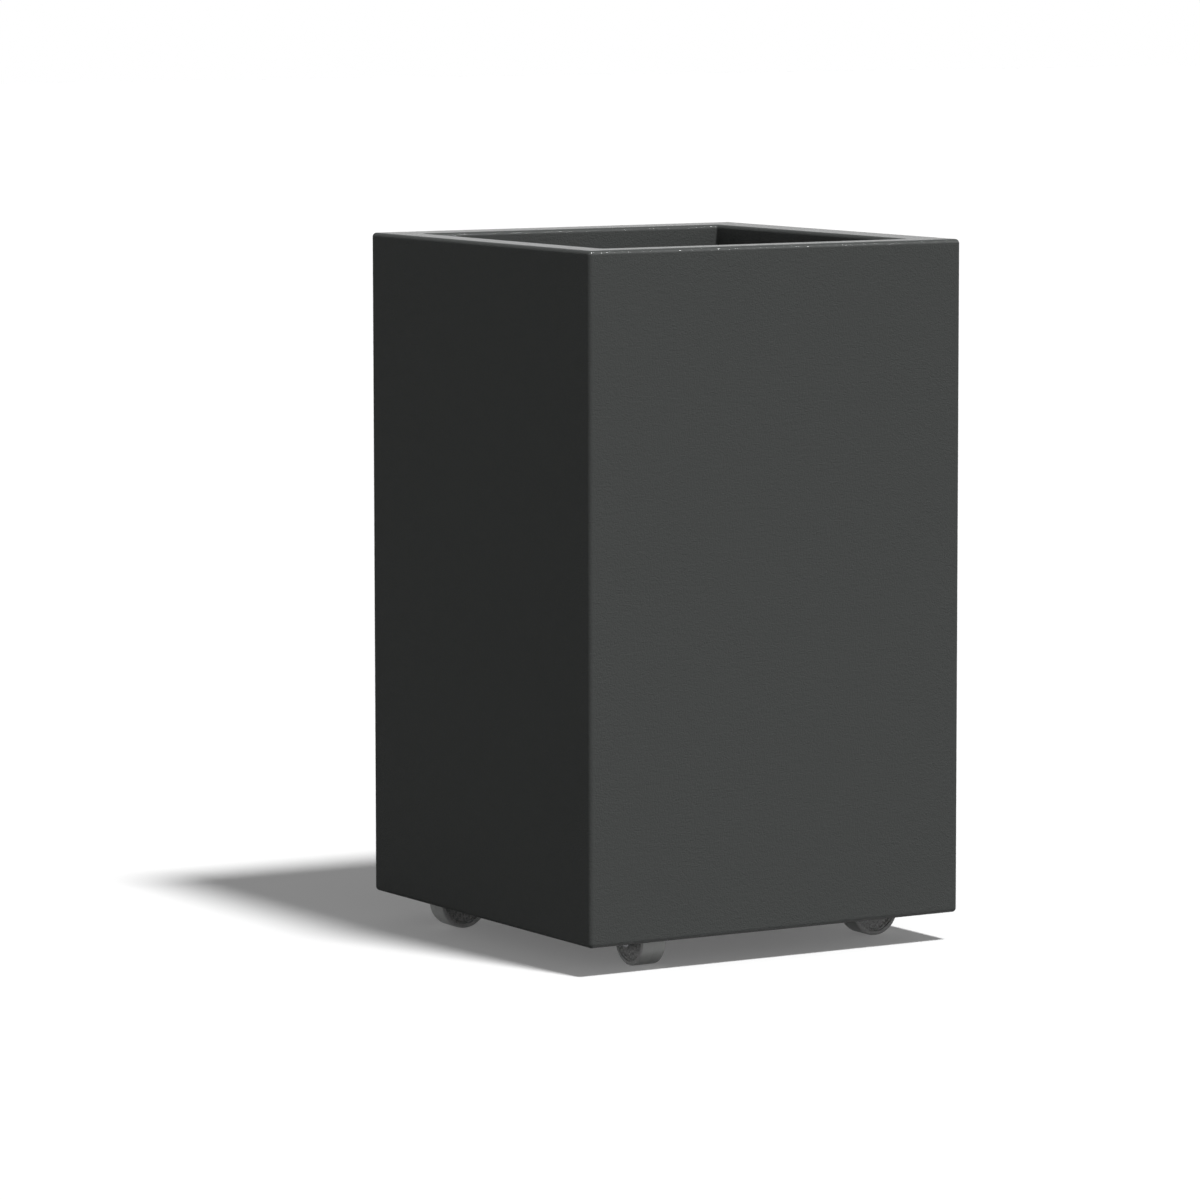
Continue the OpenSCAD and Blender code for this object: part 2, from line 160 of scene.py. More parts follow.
def blended(tree, factor, first, second):
    """Two colours mixed by a factor."""
    inputs = {"Factor": factor, "A": first, "B": second}
    node = add_node(tree, "ShaderNodeMix", data_type="RGBA")
    for socket in node.inputs:
        if socket.enabled and socket.name in inputs:
            feed(tree, socket, inputs[socket.name])
    return [socket for socket in node.outputs if socket.enabled][0]


def grey(tone):
    """A neutral colour."""
    return (tone, tone, tone, 1)


def shader_group(name, inputs, outputs):
    """A shader group under way: its tree, the inputs (name, value) it is given and its outputs.

    An input whose value is None is a vector.
    """
    tree = bpy.data.node_groups.new(name, "ShaderNodeTree")
    for label, value in inputs:
        kind = "NodeSocketVector" if value is None else "NodeSocketFloat"
        socket = tree.interface.new_socket(label, in_out="INPUT", socket_type=kind)
        if value is not None:
            socket.default_value = value
    for label in outputs:
        tree.interface.new_socket(label, in_out="OUTPUT", socket_type="NodeSocketFloat")
    return tree, tree.nodes.new("NodeGroupInput").outputs, tree.nodes.new("NodeGroupOutput").inputs


# ---------------------------------------------------------------- shared effects

# The grain's cells are bent by so much, and are so many times as wide as their roughness
CELL_BEND = 0.6 * MM
CELL_TO_ROUGHNESS = 2.3


def make_grain_group():
    """Moulded grain: small rounded cells with a finer roughness on them."""
    tree, given, result = shader_group(
        "Moulded grain",
        [("Position", None), ("Cells per metre", 700.0), ("Roughness share", 0.35)],
        ["Height", "Cell tone"],
    )
    position, cells = given["Position"], given["Cells per metre"]
    warp = add_node(tree, "ShaderNodeTexNoise", {
        "Vector": position, "Scale": cells, "Detail": 1.0})
    bend = add_node(tree, "ShaderNodeVectorMath", {
        0: warp.outputs["Color"], "Scale": CELL_BEND}, operation="SCALE")
    bent = add_node(tree, "ShaderNodeVectorMath", {
        0: position, 1: bend.outputs["Vector"]}, operation="ADD")
    pattern = add_node(tree, "ShaderNodeTexVoronoi", {
        "Vector": bent.outputs["Vector"], "Scale": cells, "Smoothness": 0.6},
        feature="SMOOTH_F1")
    dome = maths(tree, "SUBTRACT", 1.0, pattern.outputs["Distance"])
    fine = noise(tree, position, maths(tree, "MULTIPLY", cells, CELL_TO_ROUGHNESS), detail=2.0)
    share = given["Roughness share"]
    height = maths(tree, "ADD",
                   maths(tree, "MULTIPLY", dome, maths(tree, "SUBTRACT", 1.0, share)),
                   maths(tree, "MULTIPLY", fine, share))
    tree.links.new(height, result["Height"])
    tree.links.new(dome, result["Cell tone"])
    return tree


def make_drift_group():
    """Slow drift over a surface, as of thickness of a coat, dust or handling."""
    tree, given, result = shader_group(
        "Surface drift",
        [("Position", None), ("Patches per metre", 6.0), ("Low", 0.35), ("High", 0.65)],
        ["Mask"],
    )
    broad = noise(tree, given["Position"], given["Patches per metre"], detail=4.0, roughness=0.55)
    mask = scaled(tree, broad, given["Low"], given["High"], 0.0, 1.0)
    tree.links.new(mask, result["Mask"])
    return tree


def make_dust_group():
    """Dust that clings in clumps, from the floor up to a certain reach."""
    tree, given, result = shader_group(
        "Floor dust", [("Position", None), ("Reach", 0.03), ("Amount", 0.5)], ["Mask"])
    height = parts_of(tree, given["Position"])["Z"]
    fade = scaled(tree, height, 0.0, given["Reach"], 1.0, 0.0)
    clumps = noise(tree, given["Position"], scale=240.0, detail=5.0, roughness=0.7)
    grains = scaled(tree, clumps, 0.42, 0.68, 0.0, 1.0)
    mask = maths(tree, "MULTIPLY", maths(tree, "MULTIPLY", fade, grains), given["Amount"])
    tree.links.new(mask, result["Mask"])
    return tree


def make_upper_edge_group():
    """The rim's rounded edges, and far more those along X, where the planter is held."""
    tree, given, result = shader_group("Upper edges", [("Facing", None)], ["Mask"])
    facing = parts_of(tree, given["Facing"])
    rising = scaled(tree, facing["Z"], 0.10, 0.38, 0.0, 1.0)
    levelling = scaled(tree, facing["Z"], 0.52, 0.70, 1.0, 0.0)
    held = scaled(tree, maths(tree, "ABSOLUTE", facing["Y"]), 0.35, 0.75, 0.05, 1.0)
    turned = maths(tree, "MULTIPLY", rising, levelling)
    tree.links.new(maths(tree, "MULTIPLY", turned, held), result["Mask"])
    return tree


GRAIN = make_grain_group()
DRIFT = make_drift_group()
DUST = make_dust_group()
UPPER_EDGES = make_upper_edge_group()


# ---------------------------------------------------------------- materials

class Finish:
    """A material under way: its tree, its shader, and where a point lies and faces."""

    def __init__(self, name, roughness, metallic=0.0, specular=0.5, **constants):
        self.material = bpy.data.materials.new(name)
        self.material.use_nodes = True
        self.tree = self.material.node_tree
        self.shader = self.tree.nodes["Principled BSDF"]
        self.shader.inputs["Roughness"].default_value = roughness
        self.shader.inputs["Metallic"].default_value = metallic
        self.shader.inputs["Specular IOR Level"].default_value = specular
        for label, value in constants.items():
            self.shader.inputs[label.replace("_", " ").title()].default_value = value
        point = add_node(self.tree, "ShaderNodeTexCoord").outputs
        self.given = {"Position": point["Object"], "Facing": point["Normal"]}
        self.position = self.given["Position"]

    def group(self, tree, **inputs):
        """What a shared effect gives, once it is placed in this material."""
        node = add_node(self.tree, "ShaderNodeGroup", node_tree=tree)
        for label, socket in self.given.items():
            if label in node.inputs:
                feed(self.tree, node.inputs[label], socket)
        for label, value in inputs.items():
            feed(self.tree, node.inputs[label.replace("_", " ").capitalize()], value)
        return node.outputs

    def colour(self, value):
        self.tree.links.new(value, self.shader.inputs["Base Color"])

    def dusted_colour(self, tone, dust_tone, reach, amount):
        """The tone, with dust over it from the floor up to its reach."""
        dust = self.group(DUST, reach=reach, amount=amount)
        self.colour(blended(self.tree, dust["Mask"], tone, dust_tone))

    def roughness(self, value):
        self.tree.links.new(value, self.shader.inputs["Roughness"])

    def bump(self, height, depth, socket="Normal"):
        bump = add_node(self.tree, "ShaderNodeBump", {"Height": height, "Distance": depth})
        self.tree.links.new(bump.outputs["Normal"], self.shader.inputs[socket])


# The shell's coat: its tones, and about how many of each mark there are to a metre
COAT_DARK = (0.083, 0.087, 0.085, 1)
COAT_MIDDLE = (0.085, 0.089, 0.087, 1)
COAT_LIGHT = (0.088, 0.092, 0.090, 1)
COAT_CELLS = 1000.0
COAT_CREASES = 320.0
COAT_RIPPLES = 900.0
COAT_RUBS = 230.0
# Creases stand this many times as high as the cells do
CREASE_WEIGHT = 2.6
RELIEF_DEPTH = 0.2 * MM
RIPPLE_DEPTH = 0.6 * MM
# How much of the ripples is left where the coat is level, and where it turns towards X
LEVEL_SHARE = 0.15
CORNER_SHARE = 0.03
# The clear coat's weight: at a glance, where X is faced least and most, and from below
SHEEN_ALONG_Y = 0.40
SHEEN_ALONG_X = 0.19
SHEEN_BELOW = 0.4


def coated_shell():
    """Anthracite shell: fine leather grain, a sheen at a glance, and polish on its edges."""
    finish = Finish("anthracite coat", roughness=0.3, specular=0.002, coat_roughness=0.08)
    tree = finish.tree
    grain = finish.group(GRAIN, cells_per_metre=COAT_CELLS, roughness_share=0.4)
    drift = finish.group(DRIFT, patches_per_metre=5.0)
    tone = blended(tree, grain["Cell tone"], COAT_DARK, COAT_LIGHT)
    finish.colour(blended(tree, drift["Mask"], tone, COAT_MIDDLE))
    finish.roughness(scaled(tree, grain["Height"], 0.3, 0.9, 0.36, 0.26))
    creased = finish.group(GRAIN, cells_per_metre=COAT_CREASES, roughness_share=0.7)
    relief = maths(tree, "MULTIPLY_ADD", creased["Height"], CREASE_WEIGHT, grain["Height"])
    finish.bump(relief, RELIEF_DEPTH)

    # The clear coat ripples, but hardly where it is level or turns towards X, as at a corner
    facing = parts_of(tree, finish.given["Facing"])
    sideways = maths(tree, "ABSOLUTE", facing["X"])
    off_level = scaled(tree, facing["Z"], 0.70, 0.92, 1.0, LEVEL_SHARE)
    off_corner = scaled(tree, sideways, 0.06, 0.16, 1.0, CORNER_SHARE)
    ripples = noise(tree, finish.position, COAT_RIPPLES, detail=1.0)
    swell = maths(tree, "SUBTRACT", ripples, 0.5)
    share = maths(tree, "MULTIPLY", off_level, off_corner)
    finish.bump(maths(tree, "MULTIPLY", swell, share), RIPPLE_DEPTH, socket="Coat Normal")

    # It is rubbed bright in patches on the upper edges, and fully at their corners
    rubs = noise(tree, finish.position, COAT_RUBS, detail=1.0)
    rubbed = scaled(tree, rubs, 0.40, 0.58, 0.5, 1.0)
    at_corner = scaled(tree, off_corner, CORNER_SHARE, 1.0, 1.0, 0.0)
    polish = maths(tree, "MULTIPLY", finish.group(UPPER_EDGES)["Mask"],
                   maths(tree, "MAXIMUM", rubbed, at_corner))

    # Elsewhere it shows at a glance, and on the lower edges, which mirror the floor
    glancing = add_node(tree, "ShaderNodeLayerWeight", {"Blend": 0.5}).outputs["Facing"]
    most = scaled(tree, sideways, 0.0, 0.10, SHEEN_ALONG_Y, SHEEN_ALONG_X)
    sheen = scaled(tree, glancing, 0.76, 0.90, 0.0, most)
    below = maths(tree, "MULTIPLY", off_corner,
                  scaled(tree, facing["Z"], -0.5, -0.1, SHEEN_BELOW, 0.0))
    weight = maths(tree, "MAXIMUM", maths(tree, "MAXIMUM", polish, sheen), below)
    tree.links.new(weight, finish.shader.inputs["Coat Weight"])
    return finish.material


DUST_ON_PLASTIC = (0.30, 0.29, 0.27, 1)
DUST_ON_METAL = (0.24, 0.23, 0.21, 1)
DUST_ON_RUBBER = (0.36, 0.35, 0.33, 1)


def plain_moulding(name, dark, light, roughness, cells, depth):
    """A moulded plastic: two close tones, a grain and a little floor dust."""
    finish = Finish(name, roughness=roughness, specular=0.35)
    grain = finish.group(GRAIN, cells_per_metre=cells, roughness_share=0.5)
    drift = finish.group(DRIFT, patches_per_metre=14.0)
    tone = blended(finish.tree, drift["Mask"], dark, light)
    finish.dusted_colour(tone, DUST_ON_PLASTIC, reach=0.06, amount=0.25)
    finish.roughness(scaled(finish.tree, grain["Cell tone"], 0.2, 1.0,
                            roughness + 0.08, roughness - 0.06))
    finish.bump(grain["Height"], depth)
    return finish.material


# Zinc: the share of its tint that is left under its bloom, how many spangles there are to a
# metre, and its rolling lines, along each axis and in depth
DULLED = 0.82
SPANGLES = 900.0
ROLLING_LINES = (60.0, 60.0, 2600.0)
LINE_DEPTH = 0.03 * MM


def zinc_plate(name, tint, roughness):
    """Bright zinc over pressed steel: faint spangle, rolling lines and a thin dull bloom."""
    finish = Finish(name, roughness=roughness, metallic=1.0)
    tree = finish.tree
    drift = finish.group(DRIFT, patches_per_metre=70.0)
    stretched = add_node(tree, "ShaderNodeMapping", {
        "Vector": finish.position, "Scale": ROLLING_LINES})
    lines = noise(tree, stretched.outputs["Vector"], scale=1.0, detail=3.0)
    spangle = add_node(tree, "ShaderNodeTexVoronoi", {
        "Vector": finish.position, "Scale": SPANGLES}, feature="F1")
    dull = tuple(channel * DULLED for channel in tint[:3]) + (1,)
    tone = blended(tree, drift["Mask"], tint, dull)
    finish.dusted_colour(tone, DUST_ON_METAL, reach=0.075, amount=0.35)
    mottle = maths(tree, "MULTIPLY_ADD", drift["Mask"], 0.14, roughness - 0.05)
    finish.roughness(maths(tree, "MULTIPLY_ADD", spangle.outputs["Distance"], 0.10, mottle))
    finish.bump(lines, LINE_DEPTH)
    return finish.material


def soft_rubber(name, dark, light, roughness, depth, dust_amount=0.0, specular=0.3):
    """Rubber: a fine skin in two close tones, and dust where it meets the floor."""
    finish = Finish(name, roughness=roughness, specular=specular)
    grain = finish.group(GRAIN, cells_per_metre=1500.0, roughness_share=0.6)
    drift = finish.group(DRIFT, patches_per_metre=45.0)
    tone = blended(finish.tree, drift["Mask"], dark, light)
    finish.dusted_colour(tone, DUST_ON_RUBBER, reach=0.045, amount=dust_amount)
    finish.roughness(scaled(finish.tree, grain["Height"], 0.3, 0.9,
                            roughness + 0.1, roughness - 0.05))
    finish.bump(grain["Height"], depth)
    return finish.material


# Spark-eroded plastic: how many sparks and cells there are to a metre, how high the sparks
# stand beside the cells, and how deep both are
SPARKS = 420.0
SPARK_CELLS = 520.0
SPARK_WEIGHT = 0.8
SPARK_DEPTH = 0.4 * MM


def spark_textured(name, dark, light):
    """A coarse spark-eroded texture in two tones, as on the wheels' faces."""
    finish = Finish(name, roughness=0.5, specular=0.5)
    tree = finish.tree
    grain = finish.group(GRAIN, cells_per_metre=SPARK_CELLS, roughness_share=0.5)
    spark = noise(tree, finish.position, SPARKS, detail=5.0, roughness=0.75)
    contrast = scaled(tree, spark, 0.36, 0.64, 0.0, 1.0)
    tone = blended(tree, contrast, dark, light)
    finish.dusted_colour(tone, DUST_ON_PLASTIC, reach=0.05, amount=0.3)
    finish.roughness(scaled(tree, contrast, 0.0, 1.0, 0.6, 0.4))
    pits = maths(tree, "MULTIPLY", spark, SPARK_WEIGHT)
    finish.bump(maths(tree, "ADD", grain["Height"], pits), SPARK_DEPTH)
    return finish.material


COAT = coated_shell()
TUB = plain_moulding("tub plastic", (0.050, 0.052, 0.051, 1), (0.066, 0.068, 0.067, 1),
                     roughness=0.55, cells=420.0, depth=0.25 * MM)
BOARD = plain_moulding("base board", grey(0.012), (0.020, 0.020, 0.021, 1),
                       roughness=0.6, cells=350.0, depth=0.3 * MM)
CLEAT = plain_moulding("recycled plastic", (0.070, 0.070, 0.068, 1), (0.125, 0.122, 0.116, 1),
                       roughness=0.65, cells=260.0, depth=0.4 * MM)
DRAIN = plain_moulding("drain plastic", (0.010, 0.010, 0.011, 1), (0.017, 0.017, 0.018, 1),
                       roughness=0.42, cells=900.0, depth=0.12 * MM)
NYLON = plain_moulding("natural nylon", (0.62, 0.60, 0.52, 1), (0.70, 0.68, 0.61, 1),
                       roughness=0.38, cells=800.0, depth=0.06 * MM)
GASKET = soft_rubber("gasket rubber", grey(0.006), grey(0.012),
                     roughness=0.75, depth=0.08 * MM)
TREAD = soft_rubber("grey tyre tread", (0.49, 0.50, 0.49, 1), (0.56, 0.57, 0.56, 1),
                    roughness=0.38, depth=0.05 * MM, dust_amount=0.12, specular=0.7)
ZINC = zinc_plate("zinc plate", (0.46, 0.47, 0.48, 1), roughness=0.38)
BOLT_ZINC = zinc_plate("bolt zinc", (0.26, 0.26, 0.255, 1), roughness=0.48)
BALL_STEEL = zinc_plate("ball steel", (0.66, 0.66, 0.67, 1), roughness=0.12)
HUB = spark_textured("spark textured hub", grey(0.17), grey(0.62))
SIDEWALL = spark_textured("tyre sidewall", grey(0.50), grey(0.62))


# ---------------------------------------------------------------- mesh helpers

SMOOTH_ANGLE = math.radians(35)
SAME_POINT = 1e-7
# How finely small rounds and the corners of a square are stepped, and a whole turn
ROUND_STEPS = 3
CORNER_STEPS = 8
TURN_STEPS = 48
# Flat faces are held flat by a ring of points this far from each round
HOLD = 0.4 * MM


def new_piece(name, mesh, material):
    """An object of that mesh, at the origin, all in one material."""
    mesh.materials.clear()
    mesh.materials.append(material)
    piece = bpy.data.objects.new(name, mesh)
    bpy.context.scene.collection.objects.link(piece)
    return piece


NODE_BODY = {node: body for body, nodes in frame["record"]["behaviour"]["bodies"].items()
             for node in nodes}


def place(piece, node):
    """The piece stands for the node, which is hidden, and rides with the node's body."""
    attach(piece, NODE_BODY[node])
    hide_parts(node)


def mesh_from(builder, name):
    """A smooth mesh from a bmesh: doubled points joined, and edges past an angle kept sharp."""
    bmesh.ops.remove_doubles(builder, verts=builder.verts, dist=SAME_POINT)
    mesh = bpy.data.meshes.new(name)
    bmesh.ops.recalc_face_normals(builder, faces=builder.faces)
    builder.to_mesh(mesh)
    builder.free()
    mesh.shade_smooth()
    mesh.set_sharp_from_angle(angle=SMOOTH_ANGLE)
    return mesh


def bake(piece):
    """The piece's mesh as its modifiers leave it, which becomes the piece's own."""
    evaluated = piece.evaluated_get(bpy.context.evaluated_depsgraph_get())
    finished = bpy.data.meshes.new_from_object(evaluated)
    piece.modifiers.clear()
    piece.data = finished
    return finished


def square_ring(half, corner, height):
    """Points round a square with round corners, each with a holding point before and after."""
    hold = min(HOLD, (half - corner) * 0.5)
    points = []
    for quarter in range(4):
        turn = math.radians(90 * quarter)
        centre = half - corner
        row = [(half, centre - hold)]
        for step in range(CORNER_STEPS + 1):
            angle = math.radians(90 * step / CORNER_STEPS)
            row.append((centre + corner * math.cos(angle), centre + corner * math.sin(angle)))
        row.append((centre - hold, half))
        for x, y in row:
            points.append(Vector((x * math.cos(turn) - y * math.sin(turn),
                                  x * math.sin(turn) + y * math.cos(turn), height)))
    return points


def sweep_square(section, name):
    """A closed skin whose section (half width, corner radius, height) runs round a square."""
    builder = bmesh.new()
    rings = []
    for half, corner, height in section:
        ring = square_ring(half, corner, height)
        rings.append([builder.verts.new(point) for point in ring])
    count = len(rings[0])
    for ring, following in zip(rings, rings[1:] + rings[:1]):
        for i in range(count):
            j = (i + 1) % count
            builder.faces.new((ring[i], ring[j], following[j], following[i]))
    return mesh_from(builder, name)


def arc(centre_half, centre_z, radius, start, end, steps, corner=None):
    """A round stretch of a section, with corners as on a ball, or about a given radius."""
    stretch = []
    for step in range(steps + 1):
        angle = math.radians(start + (end - start) * step / steps)
        along = radius * math.cos(angle)
        if corner is None:
            round_by = max(along, HOLD)
        else:
            round_by = corner + along
        stretch.append((centre_half + along, round_by, centre_z + radius * math.sin(angle)))
    return stretch


def rounded(points):
    """A closed section's corners (across, along, radius), each turned into a round."""
    section = []
    for i, (across, along, radius) in enumerate(points):
        here = Vector((across, along))
        before = (Vector(points[i - 1][:2]) - here).normalized()
        after = (Vector(points[(i + 1) % len(points)][:2]) - here).normalized()
        half_angle = before.angle(after) / 2
        centre = here + (before + after).normalized() * radius / math.sin(half_angle)
        reach = radius / math.tan(half_angle)
        first, last = here + before * reach - centre, here + after * reach - centre
        for step in range(ROUND_STEPS + 1):
            spoke = first.lerp(last, step / ROUND_STEPS).normalized() * radius
            section.append(tuple(centre + spoke))
    return section


def lathe(section, name, steps=TURN_STEPS, flats=None, loop=True, shape=None):
    """A skin whose section (radius, height) turns about +Z.

    With flats given it is cut to a hexagon, and with shape each point goes through that.
    A closed section (loop) leaves a bore, and an open one starts and ends on the axis.
    """
    builder = bmesh.new()
    rings = []
    for radius, height in section:
        if radius == 0:
            rings.append([builder.verts.new((0, 0, height))])
            continue
        ring = []
        for i in range(steps):
            angle = math.tau * i / steps
            reach = radius
            if flats:
                off_middle = (angle + math.pi / 6) % (math.pi / 3) - math.pi / 6
                reach = min(radius, flats / 2 / math.cos(off_middle))
            point = Vector((reach * math.cos(angle), reach * math.sin(angle), height))
            ring.append(builder.verts.new(shape(point) if shape else point))
        rings.append(ring)
    pairs = list(zip(rings, rings[1:]))
    if loop:
        pairs.append((rings[-1], rings[0]))
    for ring, following in pairs:
        for i in range(steps):
            j = (i + 1) % steps
            if len(ring) == 1:
                builder.faces.new((ring[0], following[j], following[i]))
            elif len(following) == 1:
                builder.faces.new((ring[i], ring[j], following[0]))
            else:
                builder.faces.new((ring[i], ring[j], following[j], following[i]))
    return mesh_from(builder, name)


# ---------------------------------------------------------------- shell and tub

# Small radii that a moulded edge has where the model's is sharp
SMALL_RADIUS = 1 * MM
INNER_CORNER = 1.5 * MM
# The rim falls this far towards the tub, so that water runs in
RIM_FALL = 0.4 * MM
# The tub: the fillet round its floor, the radius of its upright corners, and the ring that leads
# from the round hole to the square floor, so far out and with corners so much larger
FLOOR_FILLET = 6 * MM
TUB_CORNER = 3 * MM
RING_REACH = 6 * MM
RING_CORNER = 4 * MM
# How finely the shell's large rounds, the tub's fillet and its foot's round are stepped
EDGE_STEPS = 10
FILLET_STEPS = 6
FOOT_STEPS = 4


def make_shell():
    """The outer shell: foot flange, wall, rim and turned-down lip, in one closed skin."""
    half = SHELL_HIGH.x
    low, high = SHELL_LOW.z, SHELL_HIGH.z
    inside = half - WALL
    foot = half - FOOT_WIDTH
    mouth = half - RIM_WIDTH
    lip_low = high - LIP_DEPTH
    brim = high - RIM_FALL
    r, s, c = EDGE_RADIUS, SMALL_RADIUS, INNER_CORNER

    section = arc(half - r, low + r, r, -90, 0, EDGE_STEPS)
    section += [(half, r, low + r + HOLD), (half, r, high - r - HOLD)]
    section += arc(half - r, high - r, r, 0, 90, EDGE_STEPS)
    section += [(half - r - HOLD, HOLD, high), (mouth + r + HOLD, c + r + HOLD, brim)]
    section += arc(mouth + r, brim - r, r, 90, 180, EDGE_STEPS, corner=c + r)
    section += [(mouth, c, brim - r - HOLD), (mouth, c, lip_low + s + HOLD)]
    section += arc(mouth + s, lip_low + s, s, 180, 270, ROUND_STEPS, corner=c + s)
    section += arc(mouth + WALL - s, lip_low + s, s, -90, 0, ROUND_STEPS, corner=c + WALL - s)
    section += [(mouth + WALL, c + WALL, high - WALL)]
    section += [(inside, HOLD, high - WALL), (inside, HOLD, low + WALL)]
    section += arc(foot + s, low + WALL - s, s, 90, 180, ROUND_STEPS, corner=c + s)
    section += arc(foot + s, low + s, s, 180, 270, ROUND_STEPS, corner=c + s)
    section += [(half - r - HOLD, HOLD, low)]
    return sweep_square(section, "shell skin")


def make_tub():
    """The planting tub: a tapered box with a filleted floor and a round drain hole."""
    top, low = TUB_HIGH.z, TUB_LOW.z
    floor = low + WALL
    hole = DRAIN_HOLE_RADIUS
    ring = (hole + RING_REACH, hole + RING_CORNER)
    fillet, corner, s = FLOOR_FILLET, TUB_CORNER, SMALL_RADIUS

    def outer(z):
        return TUB_HIGH.x - (top - z) * math.tan(TUB_DRAFT)

    def inner(z):
        return outer(z) - WALL

    section = [(hole, hole, floor), (*ring, floor)]
    section += arc(inner(floor) - fillet, floor + fillet, fillet, -90, 0, FILLET_STEPS,
                   corner=corner)
    section += [(inner(top - s), corner + s, top - s)]
    section += [(inner(top) + s, corner + s, top), (outer(top) - s, corner + s, top)]
    section += [(outer(top - s), corner + 2 * s, top - s)]
    section += arc(outer(low) - 2 * s, low + 2 * s, 2 * s, 0, -90, FOOT_STEPS, corner=corner)
    section += [(*ring, low), (hole, hole, low)]
    return sweep_square(section, "tub skin")


# ---------------------------------------------------------------- CAD pieces, edges broken

# Points closer than this are joined, faces that turn less than this are made one, and
# edges that turn more than this are broken, in so many steps
JOINED_POINTS = 2e-6
FLAT_ANGLE = math.radians(0.5)
BROKEN_ANGLE = math.radians(40)
BROKEN_STEPS = 2

# The nodes that keep their shape: material and width of the broken edges
KEPT_PIECES = {
    "base_panel": (BOARD, 0.8 * MM),
    "cleat_front": (CLEAT, 1.0 * MM),
    "cleat_back": (CLEAT, 1.0 * MM),
    "cleat_left": (CLEAT, 1.0 * MM),
    "cleat_right": (CLEAT, 1.0 * MM),
    "drain_fitting": (DRAIN, 0.5 * MM),
    "drain_gasket": (GASKET, 0.3 * MM),
    "drain_nut": (DRAIN, 0.6 * MM),
    "drain_plug": (DRAIN, 0.5 * MM),
}
# The same for what each caster has
KEPT_CASTER_PIECES = {
    "swivel_plate": (ZINC, 0.25 * MM),
    "king_pin": (BOLT_ZINC, 0.4 * MM),
    "thrust_washer": (NYLON, 0.3 * MM),
    "fork": (ZINC, 0.3 * MM),
    "axle_bolt": (BOLT_ZINC, 0.35 * MM),
    "axle_nut": (BOLT_ZINC, 0.35 * MM),
    "axle_sleeve": (BOLT_ZINC, 0.2 * MM),
}


def softened(node, material, width):
    """A copy of a CAD node with its sharp edges broken, which stands for the node."""
    builder = bmesh.new()
    builder.from_mesh(frame["nodes"][node].data)
    bmesh.ops.remove_doubles(builder, verts=builder.verts, dist=JOINED_POINTS)
    bmesh.ops.dissolve_limit(builder, angle_limit=FLAT_ANGLE, verts=builder.verts,
                             edges=builder.edges)
    mesh = bpy.data.meshes.new(node)
    builder.to_mesh(mesh)
    builder.free()
    piece = new_piece(node + "_finished", mesh, material)
    bevel = piece.modifiers.new("Broken edges", "BEVEL")
    bevel.width = width
    bevel.segments = BROKEN_STEPS
    bevel.limit_method = "ANGLE"
    bevel.angle_limit = BROKEN_ANGLE
    bevel.use_clamp_overlap = True
    finished = bake(piece)
    bpy.data.meshes.remove(mesh)
    finished.shade_smooth()
    finished.set_sharp_from_angle(angle=SMOOTH_ANGLE)
    place(piece, node)


def dress_shell_and_tub():
    place(new_piece("shell", make_shell(), COAT), "outer_shell")
    place(new_piece("tub", make_tub(), TUB), "planting_tub")


def dress_cad_pieces():
    for node, (material, width) in KEPT_PIECES.items():
        softened(node, material, width)
    for corner in CASTERS:
        for kind, (material, width) in KEPT_CASTER_PIECES.items():
            softened(f"{kind}_{corner}", material, width)


# ---------------------------------------------------------------- wheels

WHEEL_STEPS = 96
# The tyre: its shoulder's round and its bead's, the outer edge of each side's groove as a share
# of the tyre's radius, and how deep that groove and the finer one round the tread are
SHOULDER_ROUND = 1.5 * MM
BEAD_ROUND = 0.4 * MM
GROOVE_SHARE = 0.93
SIDE_GROOVE = 0.35 * MM
PARTING_GROOVE = 0.15 * MM
# Faces of the tyre whose normals lie this far along its axle have the sidewall's finish
SIDE_FACING = 0.6
# The hub: how deep its face is dished, the lip's width at its foot and at its top, how much
# the boss tapers, and the rounds that end its hollows, its boss and its other edges
DISH_DEPTH = 1.2 * MM
LIP_FOOT = 2.4 * MM
LIP_TOP = 1.8 * MM
BOSS_TAPER = 0.6 * MM
HOLLOW_ROUND = 0.8 * MM
BOSS_ROUND = 0.5 * MM
HUB_ROUND = 0.3 * MM
# The round of a point that lies on a straight stretch
SLIGHT = 0.1 * MM


def both_sides(half):
    """A rounded section from its upper half, whose first and last points lie in the middle."""
    lower = [(across, -along, radius) for across, along, radius in reversed(half[1:-1])]
    return rounded(half + lower)


def make_tyre():
    """A tyre about +Z: tread with a parting groove, round shoulders and a groove in each side."""
    bore, tread, side = TYRE_BORE / 2, WHEEL_DIAMETER / 2, TYRE_WIDTH / 2
    groove, deep, fine = GROOVE_SHARE * tread, SIDE_GROOVE, PARTING_GROOVE
    half = [
        (bore, 0, SLIGHT), (bore, side, BEAD_ROUND),
        (groove - 2 * deep, side, fine), (groove - deep, side - deep, fine),
        (groove, side, fine), (tread, side, SHOULDER_ROUND),
        (tread, fine * 2, fine * 0.5), (tread - fine, 0, fine * 0.5),
    ]
    return lathe(both_sides(half), "tyre", steps=WHEEL_STEPS)


def make_hub():
    """A hub about +Z: a boss at each side, and a face dished between the boss and a raised lip."""
    bore, boss, lip = HUB_BORE / 2, HUB_BOSS / 2, HUB_DIAMETER / 2
    face, end = HUB_WIDTH / 2, HUB_LENGTH / 2
    dish = face - DISH_DEPTH
    half = [
        (bore, 0, SLIGHT), (bore, end, HUB_ROUND), (boss - BOSS_TAPER, end, BOSS_ROUND),
        (boss, dish, HOLLOW_ROUND), (lip - LIP_FOOT, dish, HOLLOW_ROUND),
        (lip - LIP_TOP, face, HUB_ROUND), (lip, face, HUB_ROUND), (lip, 0, SLIGHT),
    ]
    return lathe(both_sides(half), "wheel hub", steps=WHEEL_STEPS)


